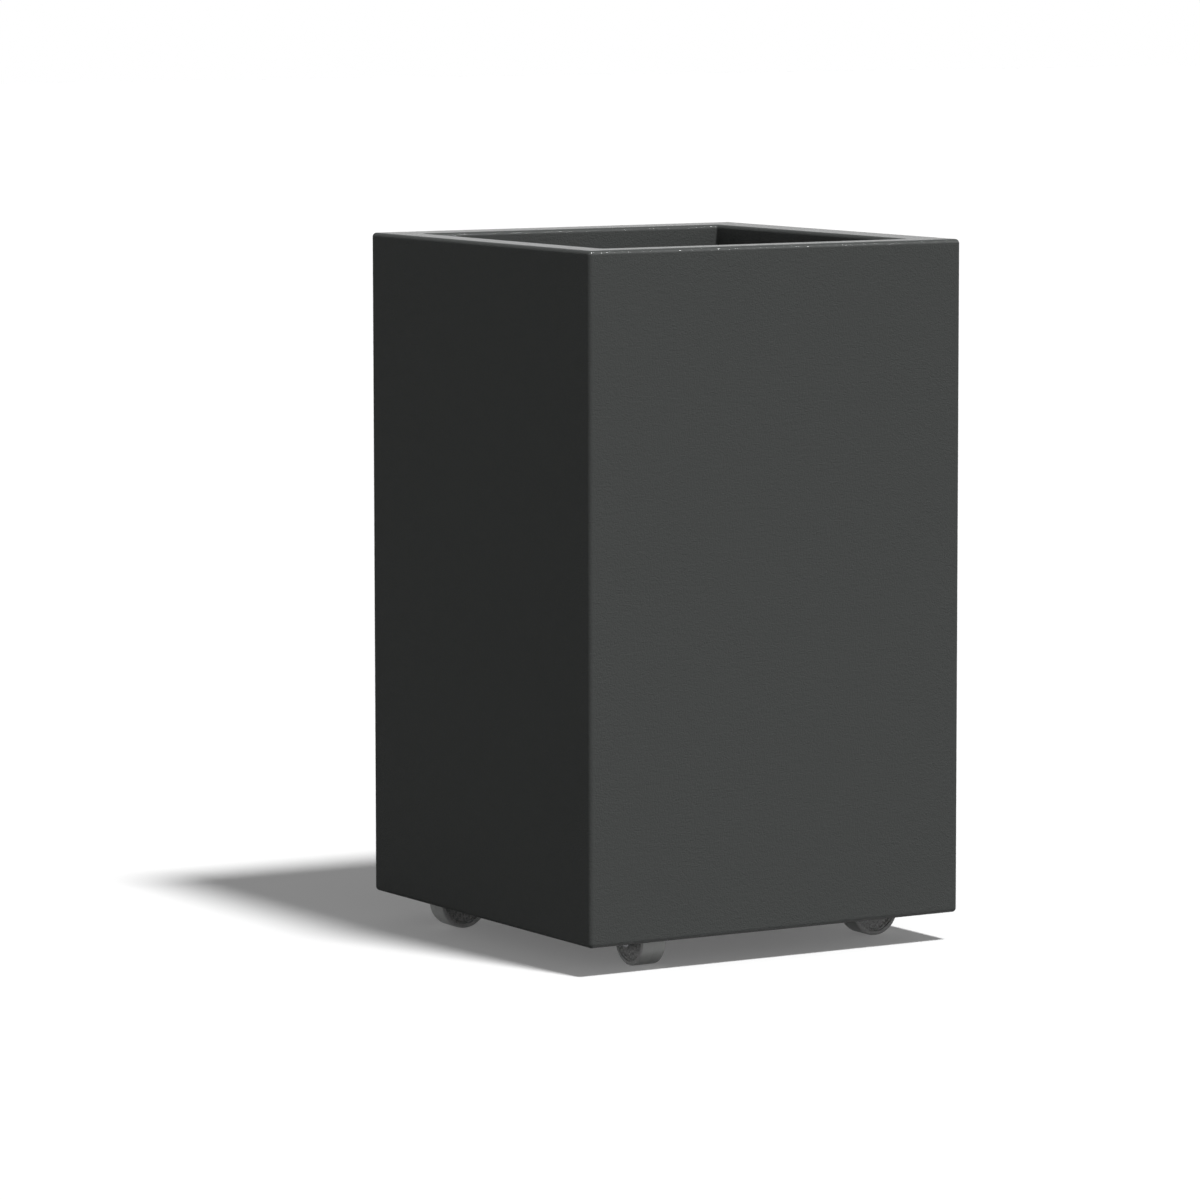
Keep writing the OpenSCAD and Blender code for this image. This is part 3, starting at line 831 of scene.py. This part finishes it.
def dress_wheels():
    for corner, (_, _, turn) in CASTERS.items():
        swivel = Matrix.Translation(swivel_point(corner, 0))
        trail = Matrix.Rotation(math.radians(turn), 4, "Z")
        axle = Matrix.Translation((CASTER_TRAIL, 0, AXLE_HEIGHT))
        upright = Matrix.Rotation(math.radians(90), 4, "X")
        tyre, hub = make_tyre(), make_hub()
        side_faces = [face.index for face in tyre.polygons if abs(face.normal.z) > SIDE_FACING]
        for mesh in (tyre, hub):
            mesh.transform(swivel @ trail @ axle @ upright)
        place(new_piece("tyre_finished_" + corner, tyre, TREAD), "tyre_" + corner)
        tyre.materials.append(SIDEWALL)
        for index in side_faces:
            tyre.polygons[index].material_index = 1
        place(new_piece("hub_finished_" + corner, hub, HUB), "wheel_hub_" + corner)


# ---------------------------------------------------------------- fasteners, set out by nodes

def geometry_group(name, inputs):
    """An empty Geometry Nodes group with its named inputs (name, kind), and a geometry output."""
    tree = bpy.data.node_groups.new(name, "GeometryNodeTree")
    for label, kind in inputs:
        tree.interface.new_socket(label, in_out="INPUT", socket_type="NodeSocket" + kind)
    tree.interface.new_socket("Geometry", in_out="OUTPUT", socket_type="NodeSocketGeometry")
    return tree, tree.nodes.new("NodeGroupInput").outputs, tree.nodes.new("NodeGroupOutput").inputs


def copies_on(tree, points, form, **inputs):
    """Real copies of a form, one on each point."""
    copies = add_node(tree, "GeometryNodeInstanceOnPoints", {
        "Points": points, "Instance": form, **inputs})
    joined = add_node(tree, "GeometryNodeRealizeInstances", {
        "Geometry": copies.outputs["Instances"]})
    return joined.outputs["Geometry"]


def make_placed_copies():
    """The part's form on every point, as one plain mesh in one material."""
    tree, given, result = geometry_group("Placed copies", [
        ("Points", "Geometry"), ("Form", "Object"), ("Material", "Material")])
    form = add_node(tree, "GeometryNodeObjectInfo", {"Object": given["Form"]})
    coloured = add_node(tree, "GeometryNodeSetMaterial", {
        "Geometry": copies_on(tree, given["Points"], form.outputs["Geometry"]),
        "Material": given["Material"]})
    tree.links.new(coloured.outputs["Geometry"], result["Geometry"])
    return tree


PLACED_COPIES = make_placed_copies()
COPIED = [("Form", "Object"), ("Material", "Material")]


def finish_copies(tree, given, result, points):
    """The last part of each pattern: copies of the form on its points."""
    copies = add_node(tree, "GeometryNodeGroup", node_tree=PLACED_COPIES)
    for label, socket in (("Points", points), ("Form", given["Form"]),
                          ("Material", given["Material"])):
        tree.links.new(socket, copies.inputs[label])
    tree.links.new(copies.outputs["Geometry"], result["Geometry"])
    return tree


def make_plate_pattern():
    """Four holes in a square, round each of four places in a larger square."""
    tree, given, result = geometry_group("Plate holes", COPIED + [
        ("Plate spacing", "Float"), ("Hole spacing", "Float")])
    squares = []
    for label in ("Plate spacing", "Hole spacing"):
        squares.append(add_node(tree, "GeometryNodeMeshGrid", {
            "Size X": given[label], "Size Y": given[label], "Vertices X": 2, "Vertices Y": 2}))
    plates, holes = (square.outputs["Mesh"] for square in squares)
    return finish_copies(tree, given, result, copies_on(tree, plates, holes))


def make_side_pattern():
    """A row of three along each side of a square."""
    tree, given, result = geometry_group("Side rows", COPIED + [
        ("Offset", "Float"), ("Pitch", "Float")])
    back = maths(tree, "MULTIPLY", given["Pitch"], -1.0)
    start = add_node(tree, "ShaderNodeCombineXYZ", {"X": given["Offset"], "Y": back})
    step = add_node(tree, "ShaderNodeCombineXYZ", {"Y": given["Pitch"]})
    row = add_node(tree, "GeometryNodeMeshLine", {
        "Count": SCREWS_A_SIDE, "Start Location": start.outputs[0],
        "Offset": step.outputs[0]})
    sides = add_node(tree, "GeometryNodePoints", {"Count": 4})
    index = add_node(tree, "GeometryNodeInputIndex")
    quarter = maths(tree, "MULTIPLY", index.outputs["Index"], math.pi / 2)
    turn = add_node(tree, "ShaderNodeCombineXYZ", {"Z": quarter})
    places = copies_on(tree, sides.outputs[0], row.outputs["Mesh"], Rotation=turn.outputs[0])
    return finish_copies(tree, given, result, places)


def make_ring_pattern():
    """A ring of copies round a middle."""
    tree, given, result = geometry_group("Ring", COPIED + [
        ("Count", "Int"), ("Diameter", "Float"), ("Middle", "Vector")])
    radius = maths(tree, "MULTIPLY", given["Diameter"], 0.5)
    circle = add_node(tree, "GeometryNodeMeshCircle", {
        "Vertices": given["Count"], "Radius": radius})
    moved = add_node(tree, "GeometryNodeTransform", {
        "Geometry": circle.outputs["Mesh"], "Translation": given["Middle"]})
    return finish_copies(tree, given, result, moved.outputs["Geometry"])


def set_out(node, tree, mesh, material, **settings):
    """Copies of a mesh, set out by a pattern, which stand for the node."""
    form = bpy.data.objects.new("form", mesh)
    bpy.context.scene.collection.objects.link(form)
    piece = new_piece(node + "_finished", bpy.data.meshes.new(node), material)
    modifier = piece.modifiers.new("Set out", "NODES")
    modifier.node_group = tree
    settings.update(form=form, material=material)
    for item in tree.interface.items_tree:
        key = item.name.lower().replace(" ", "_")
        if item.in_out == "INPUT" and key in settings:
            modifier[item.identifier] = settings[key]
    bake(piece)
    bpy.data.objects.remove(form)
    place(piece, node)


# The rings of points in a screw's head that its recess is pressed into
RECESS_RING = 0.2 * MM
RECESS_RINGS = 12
# How finely a ball is stepped, from end to end and round
BALL_RINGS = 16
BALL_STEPS = 24


def make_hex_bolt(low, under_head, tip):
    """A hexagon bolt about +Z, head down: chamfered head, washer face and pointed tip."""
    shank, corner = BOLT_SHANK / 2, HEX_FLATS / math.sqrt(3)
    top, face = 0.42 * HEX_FLATS, 0.47 * HEX_FLATS
    edge, chamfer, washer_face, point = 0.15 * MM, 0.7 * MM, 0.25 * MM, 0.8 * MM
    section = [
        (0, low), (top, low), (face, low + edge), (corner, low + chamfer),
        (corner, under_head - 2 * washer_face), (face, under_head - washer_face),
        (face, under_head), (shank, under_head),
        (shank, tip - point), (shank - chamfer, tip), (0, tip),
    ]
    return lathe(section, "hex bolt", flats=HEX_FLATS, loop=False)


def make_cross_screw(low, tip):
    """A countersunk screw about +Z, head down, with a cross recess."""
    head, shank = SCREW_HEAD / 2, SCREW_SHANK / 2
    edge, sink, taper, blunt = 0.15 * MM, 2 * MM, 3 * MM, 0.3 * MM
    # The recess: half the width of its arms, their reach, and how steeply they deepen inwards
    arm, reach, slope = 0.45 * MM, 2.2 * MM, 0.7

    def recess(point):
        across, along = min(abs(point.x), abs(point.y)), math.hypot(point.x, point.y)
        if point.z < low + edge / 2 and across < arm and along < reach:
            point.z += slope * (reach - along)
        return point

    section = [(0, low + slope * reach)]
    section += [(ring * RECESS_RING, low) for ring in range(1, RECESS_RINGS + 1)]
    section += [(head - edge, low), (head, low + edge), (shank, low + sink),
                (shank, tip - taper), (blunt, tip), (0, tip)]
    return lathe(section, "cross screw", loop=False, shape=recess)


def make_washer(low, high):
    bore, outer, edge = BOLT_BORE / 2, WASHER_WIDTH / 2, 0.25 * MM
    return lathe(rounded([(bore, low, edge), (outer, low, edge), (outer, high, edge),
                          (bore, high, edge)]), "washer")


def make_tee_nut(low, high):
    bore, barrel, flange = BOLT_BORE / 2, NUT_BARREL / 2, NUT_FLANGE / 2
    under, edge = high - NUT_FLANGE_DEPTH, 0.2 * MM
    return lathe(rounded([
        (bore, low, edge), (barrel, low, edge), (barrel, under, edge), (flange, under, 2 * edge),
        (flange, high, 2 * edge), (bore, high, 2 * edge)]), "tee nut")


def make_ball(radius):
    section = [(0, -radius)]
    for step in range(1, BALL_RINGS):
        angle = math.radians(-90 + 180 * step / BALL_RINGS)
        section.append((radius * math.cos(angle), radius * math.sin(angle)))
    return lathe(section + [(0, radius)], "ball", steps=BALL_STEPS, loop=False)


def dress_fasteners():
    plates, sides, ring = make_plate_pattern(), make_side_pattern(), make_ring_pattern()
    spans = {node: (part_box(node)[0][2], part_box(node)[1][2])
             for node in ("caster_bolts", "caster_washers", "tee_nuts", "panel_screws")}
    bolt_low, bolt_tip = spans["caster_bolts"]
    bolt = make_hex_bolt(bolt_low, spans["caster_washers"][0], bolt_tip)
    at_plates = {"plate_spacing": 2 * SWIVEL_OFFSET, "hole_spacing": HOLE_PITCH}
    set_out("caster_bolts", plates, bolt, BOLT_ZINC, **at_plates)
    set_out("caster_washers", plates, make_washer(*spans["caster_washers"]), ZINC, **at_plates)
    set_out("tee_nuts", plates, make_tee_nut(*spans["tee_nuts"]), ZINC, **at_plates)
    set_out("panel_screws", sides, make_cross_screw(*spans["panel_screws"]), BOLT_ZINC,
            offset=SCREW_OFFSET, pitch=SCREW_PITCH)
    for corner in CASTERS:
        balls = "bearing_balls_" + corner
        low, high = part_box(balls)
        set_out(balls, ring, make_ball(BALL_DIAMETER / 2), BALL_STEEL,
                count=BALL_COUNT, diameter=BALL_CIRCLE,
                middle=swivel_point(corner, (low[2] + high[2]) / 2))


# ---------------------------------------------------------------- stage, light and camera

# How the photograph is seen: turn, dip and roll of the view, its distance and its aim off the
# middle of the shell, the lens for its sensor, and how far it reaches
VIEW_TURN = math.radians(31.0703)
VIEW_DIP = math.radians(6.263)
VIEW_ROLL = math.radians(-0.0747)
VIEW_DISTANCE = 5.700
AIM_RIGHT = -0.05875
AIM_UP = -0.02783
LENS_MM = 182.122
SENSOR_MM = 36
VIEW_END = 200.0

# The lamp's direction from the object: to the right, to the front and up
SUN_DIRECTION = Vector((0.110, -0.511, 1.0))
SUN_STRENGTH = 3.18
SUN_SPREAD = math.radians(8)
# The soft light all round is strongest from the horizon, and so reaches the wheels
HORIZON_STRENGTH = 0.92
HORIZON_FALL = 2.0
# The floor's half width, and how many cells it has each way
FLOOR_HALF = 30.0
FLOOR_CELLS = 8
# The floor's tone as light meets it, and as the camera sees it, which with its own faint glow
# makes the lit floor white and keeps the shadow open under the base
FLOOR_TONE = 0.10
SEEN_FLOOR_TONE = 0.88
SEEN_FLOOR_GLOW = 0.122


def make_camera():
    middle = (SHELL_LOW + SHELL_HIGH) / 2
    ahead = Vector((math.sin(VIEW_TURN) * math.cos(VIEW_DIP),
                    math.cos(VIEW_TURN) * math.cos(VIEW_DIP), -math.sin(VIEW_DIP)))
    right = Vector((math.cos(VIEW_TURN), -math.sin(VIEW_TURN), 0))
    up = right.cross(ahead)
    place_at = middle - ahead * VIEW_DISTANCE + right * AIM_RIGHT + up * AIM_UP
    across = right * math.cos(VIEW_ROLL) + up * math.sin(VIEW_ROLL)
    upright = up * math.cos(VIEW_ROLL) - right * math.sin(VIEW_ROLL)
    data = bpy.data.cameras.new("view")
    data.sensor_width = SENSOR_MM
    data.lens = LENS_MM
    data.clip_end = VIEW_END
    camera = bpy.data.objects.new("view", data)
    camera.matrix_world = Matrix((across, upright, -ahead)).transposed().to_4x4()
    camera.location = place_at
    bpy.context.scene.collection.objects.link(camera)
    bpy.context.scene.camera = camera


def seen_directly(tree):
    """1 for what the camera, a reflection or a clear piece sees, and 0 for light on a surface."""
    path = add_node(tree, "ShaderNodeLightPath").outputs
    mirrored = maths(tree, "MAXIMUM", path["Is Glossy Ray"], path["Is Transmission Ray"])
    return maths(tree, "MAXIMUM", path["Is Camera Ray"], mirrored)


def make_floor():
    """A pale matte floor, which the camera sees lighter than the light that meets it does."""
    builder = bmesh.new()
    bmesh.ops.create_grid(builder, x_segments=FLOOR_CELLS, y_segments=FLOOR_CELLS,
                          size=FLOOR_HALF)
    mesh = bpy.data.meshes.new("floor")
    builder.to_mesh(mesh)
    builder.free()
    material = bpy.data.materials.new("pale floor")
    material.use_nodes = True
    tree = material.node_tree
    shader = tree.nodes["Principled BSDF"]
    shader.inputs["Roughness"].default_value = 1.0
    shader.inputs["Specular IOR Level"].default_value = 0.0
    seen = seen_directly(tree)
    tone = blended(tree, seen, grey(FLOOR_TONE), grey(SEEN_FLOOR_TONE))
    tree.links.new(tone, shader.inputs["Base Color"])
    shader.inputs["Emission Color"].default_value = grey(1)
    glow = scaled(tree, seen, 0.0, 1.0, 0.0, SEEN_FLOOR_GLOW)
    tree.links.new(glow, shader.inputs["Emission Strength"])
    new_piece("floor", mesh, material)


def make_light():
    """A wide lamp, and soft light from all round, which is plain white where it is seen."""
    data = bpy.data.lights.new("key", "SUN")
    data.energy = SUN_STRENGTH
    data.angle = SUN_SPREAD
    lamp = bpy.data.objects.new("key", data)
    lamp.rotation_mode = "QUATERNION"
    lamp.rotation_quaternion = SUN_DIRECTION.to_track_quat("Z", "Y")
    bpy.context.scene.collection.objects.link(lamp)

    world = bpy.data.worlds.new("studio")
    world.use_nodes = True
    tree = world.node_tree
    background = tree.nodes["Background"]
    background.inputs["Color"].default_value = grey(1)
    direction = add_node(tree, "ShaderNodeTexCoord").outputs["Generated"]
    rise = parts_of(tree, direction)["Z"]
    low = maths(tree, "SUBTRACT", 1.0, rise, clamp=True)
    soft = maths(tree, "MULTIPLY", maths(tree, "POWER", low, HORIZON_FALL), HORIZON_STRENGTH)
    seen = seen_directly(tree)
    strength = maths(tree, "MULTIPLY_ADD", maths(tree, "SUBTRACT", 1.0, soft), seen, soft)
    tree.links.new(strength, background.inputs["Strength"])
    bpy.context.scene.world = world


make_camera()
make_floor()
make_light()
dress_shell_and_tub()
dress_cad_pieces()
dress_wheels()
dress_fasteners()
bpy.context.scene.view_settings.view_transform = "Standard"
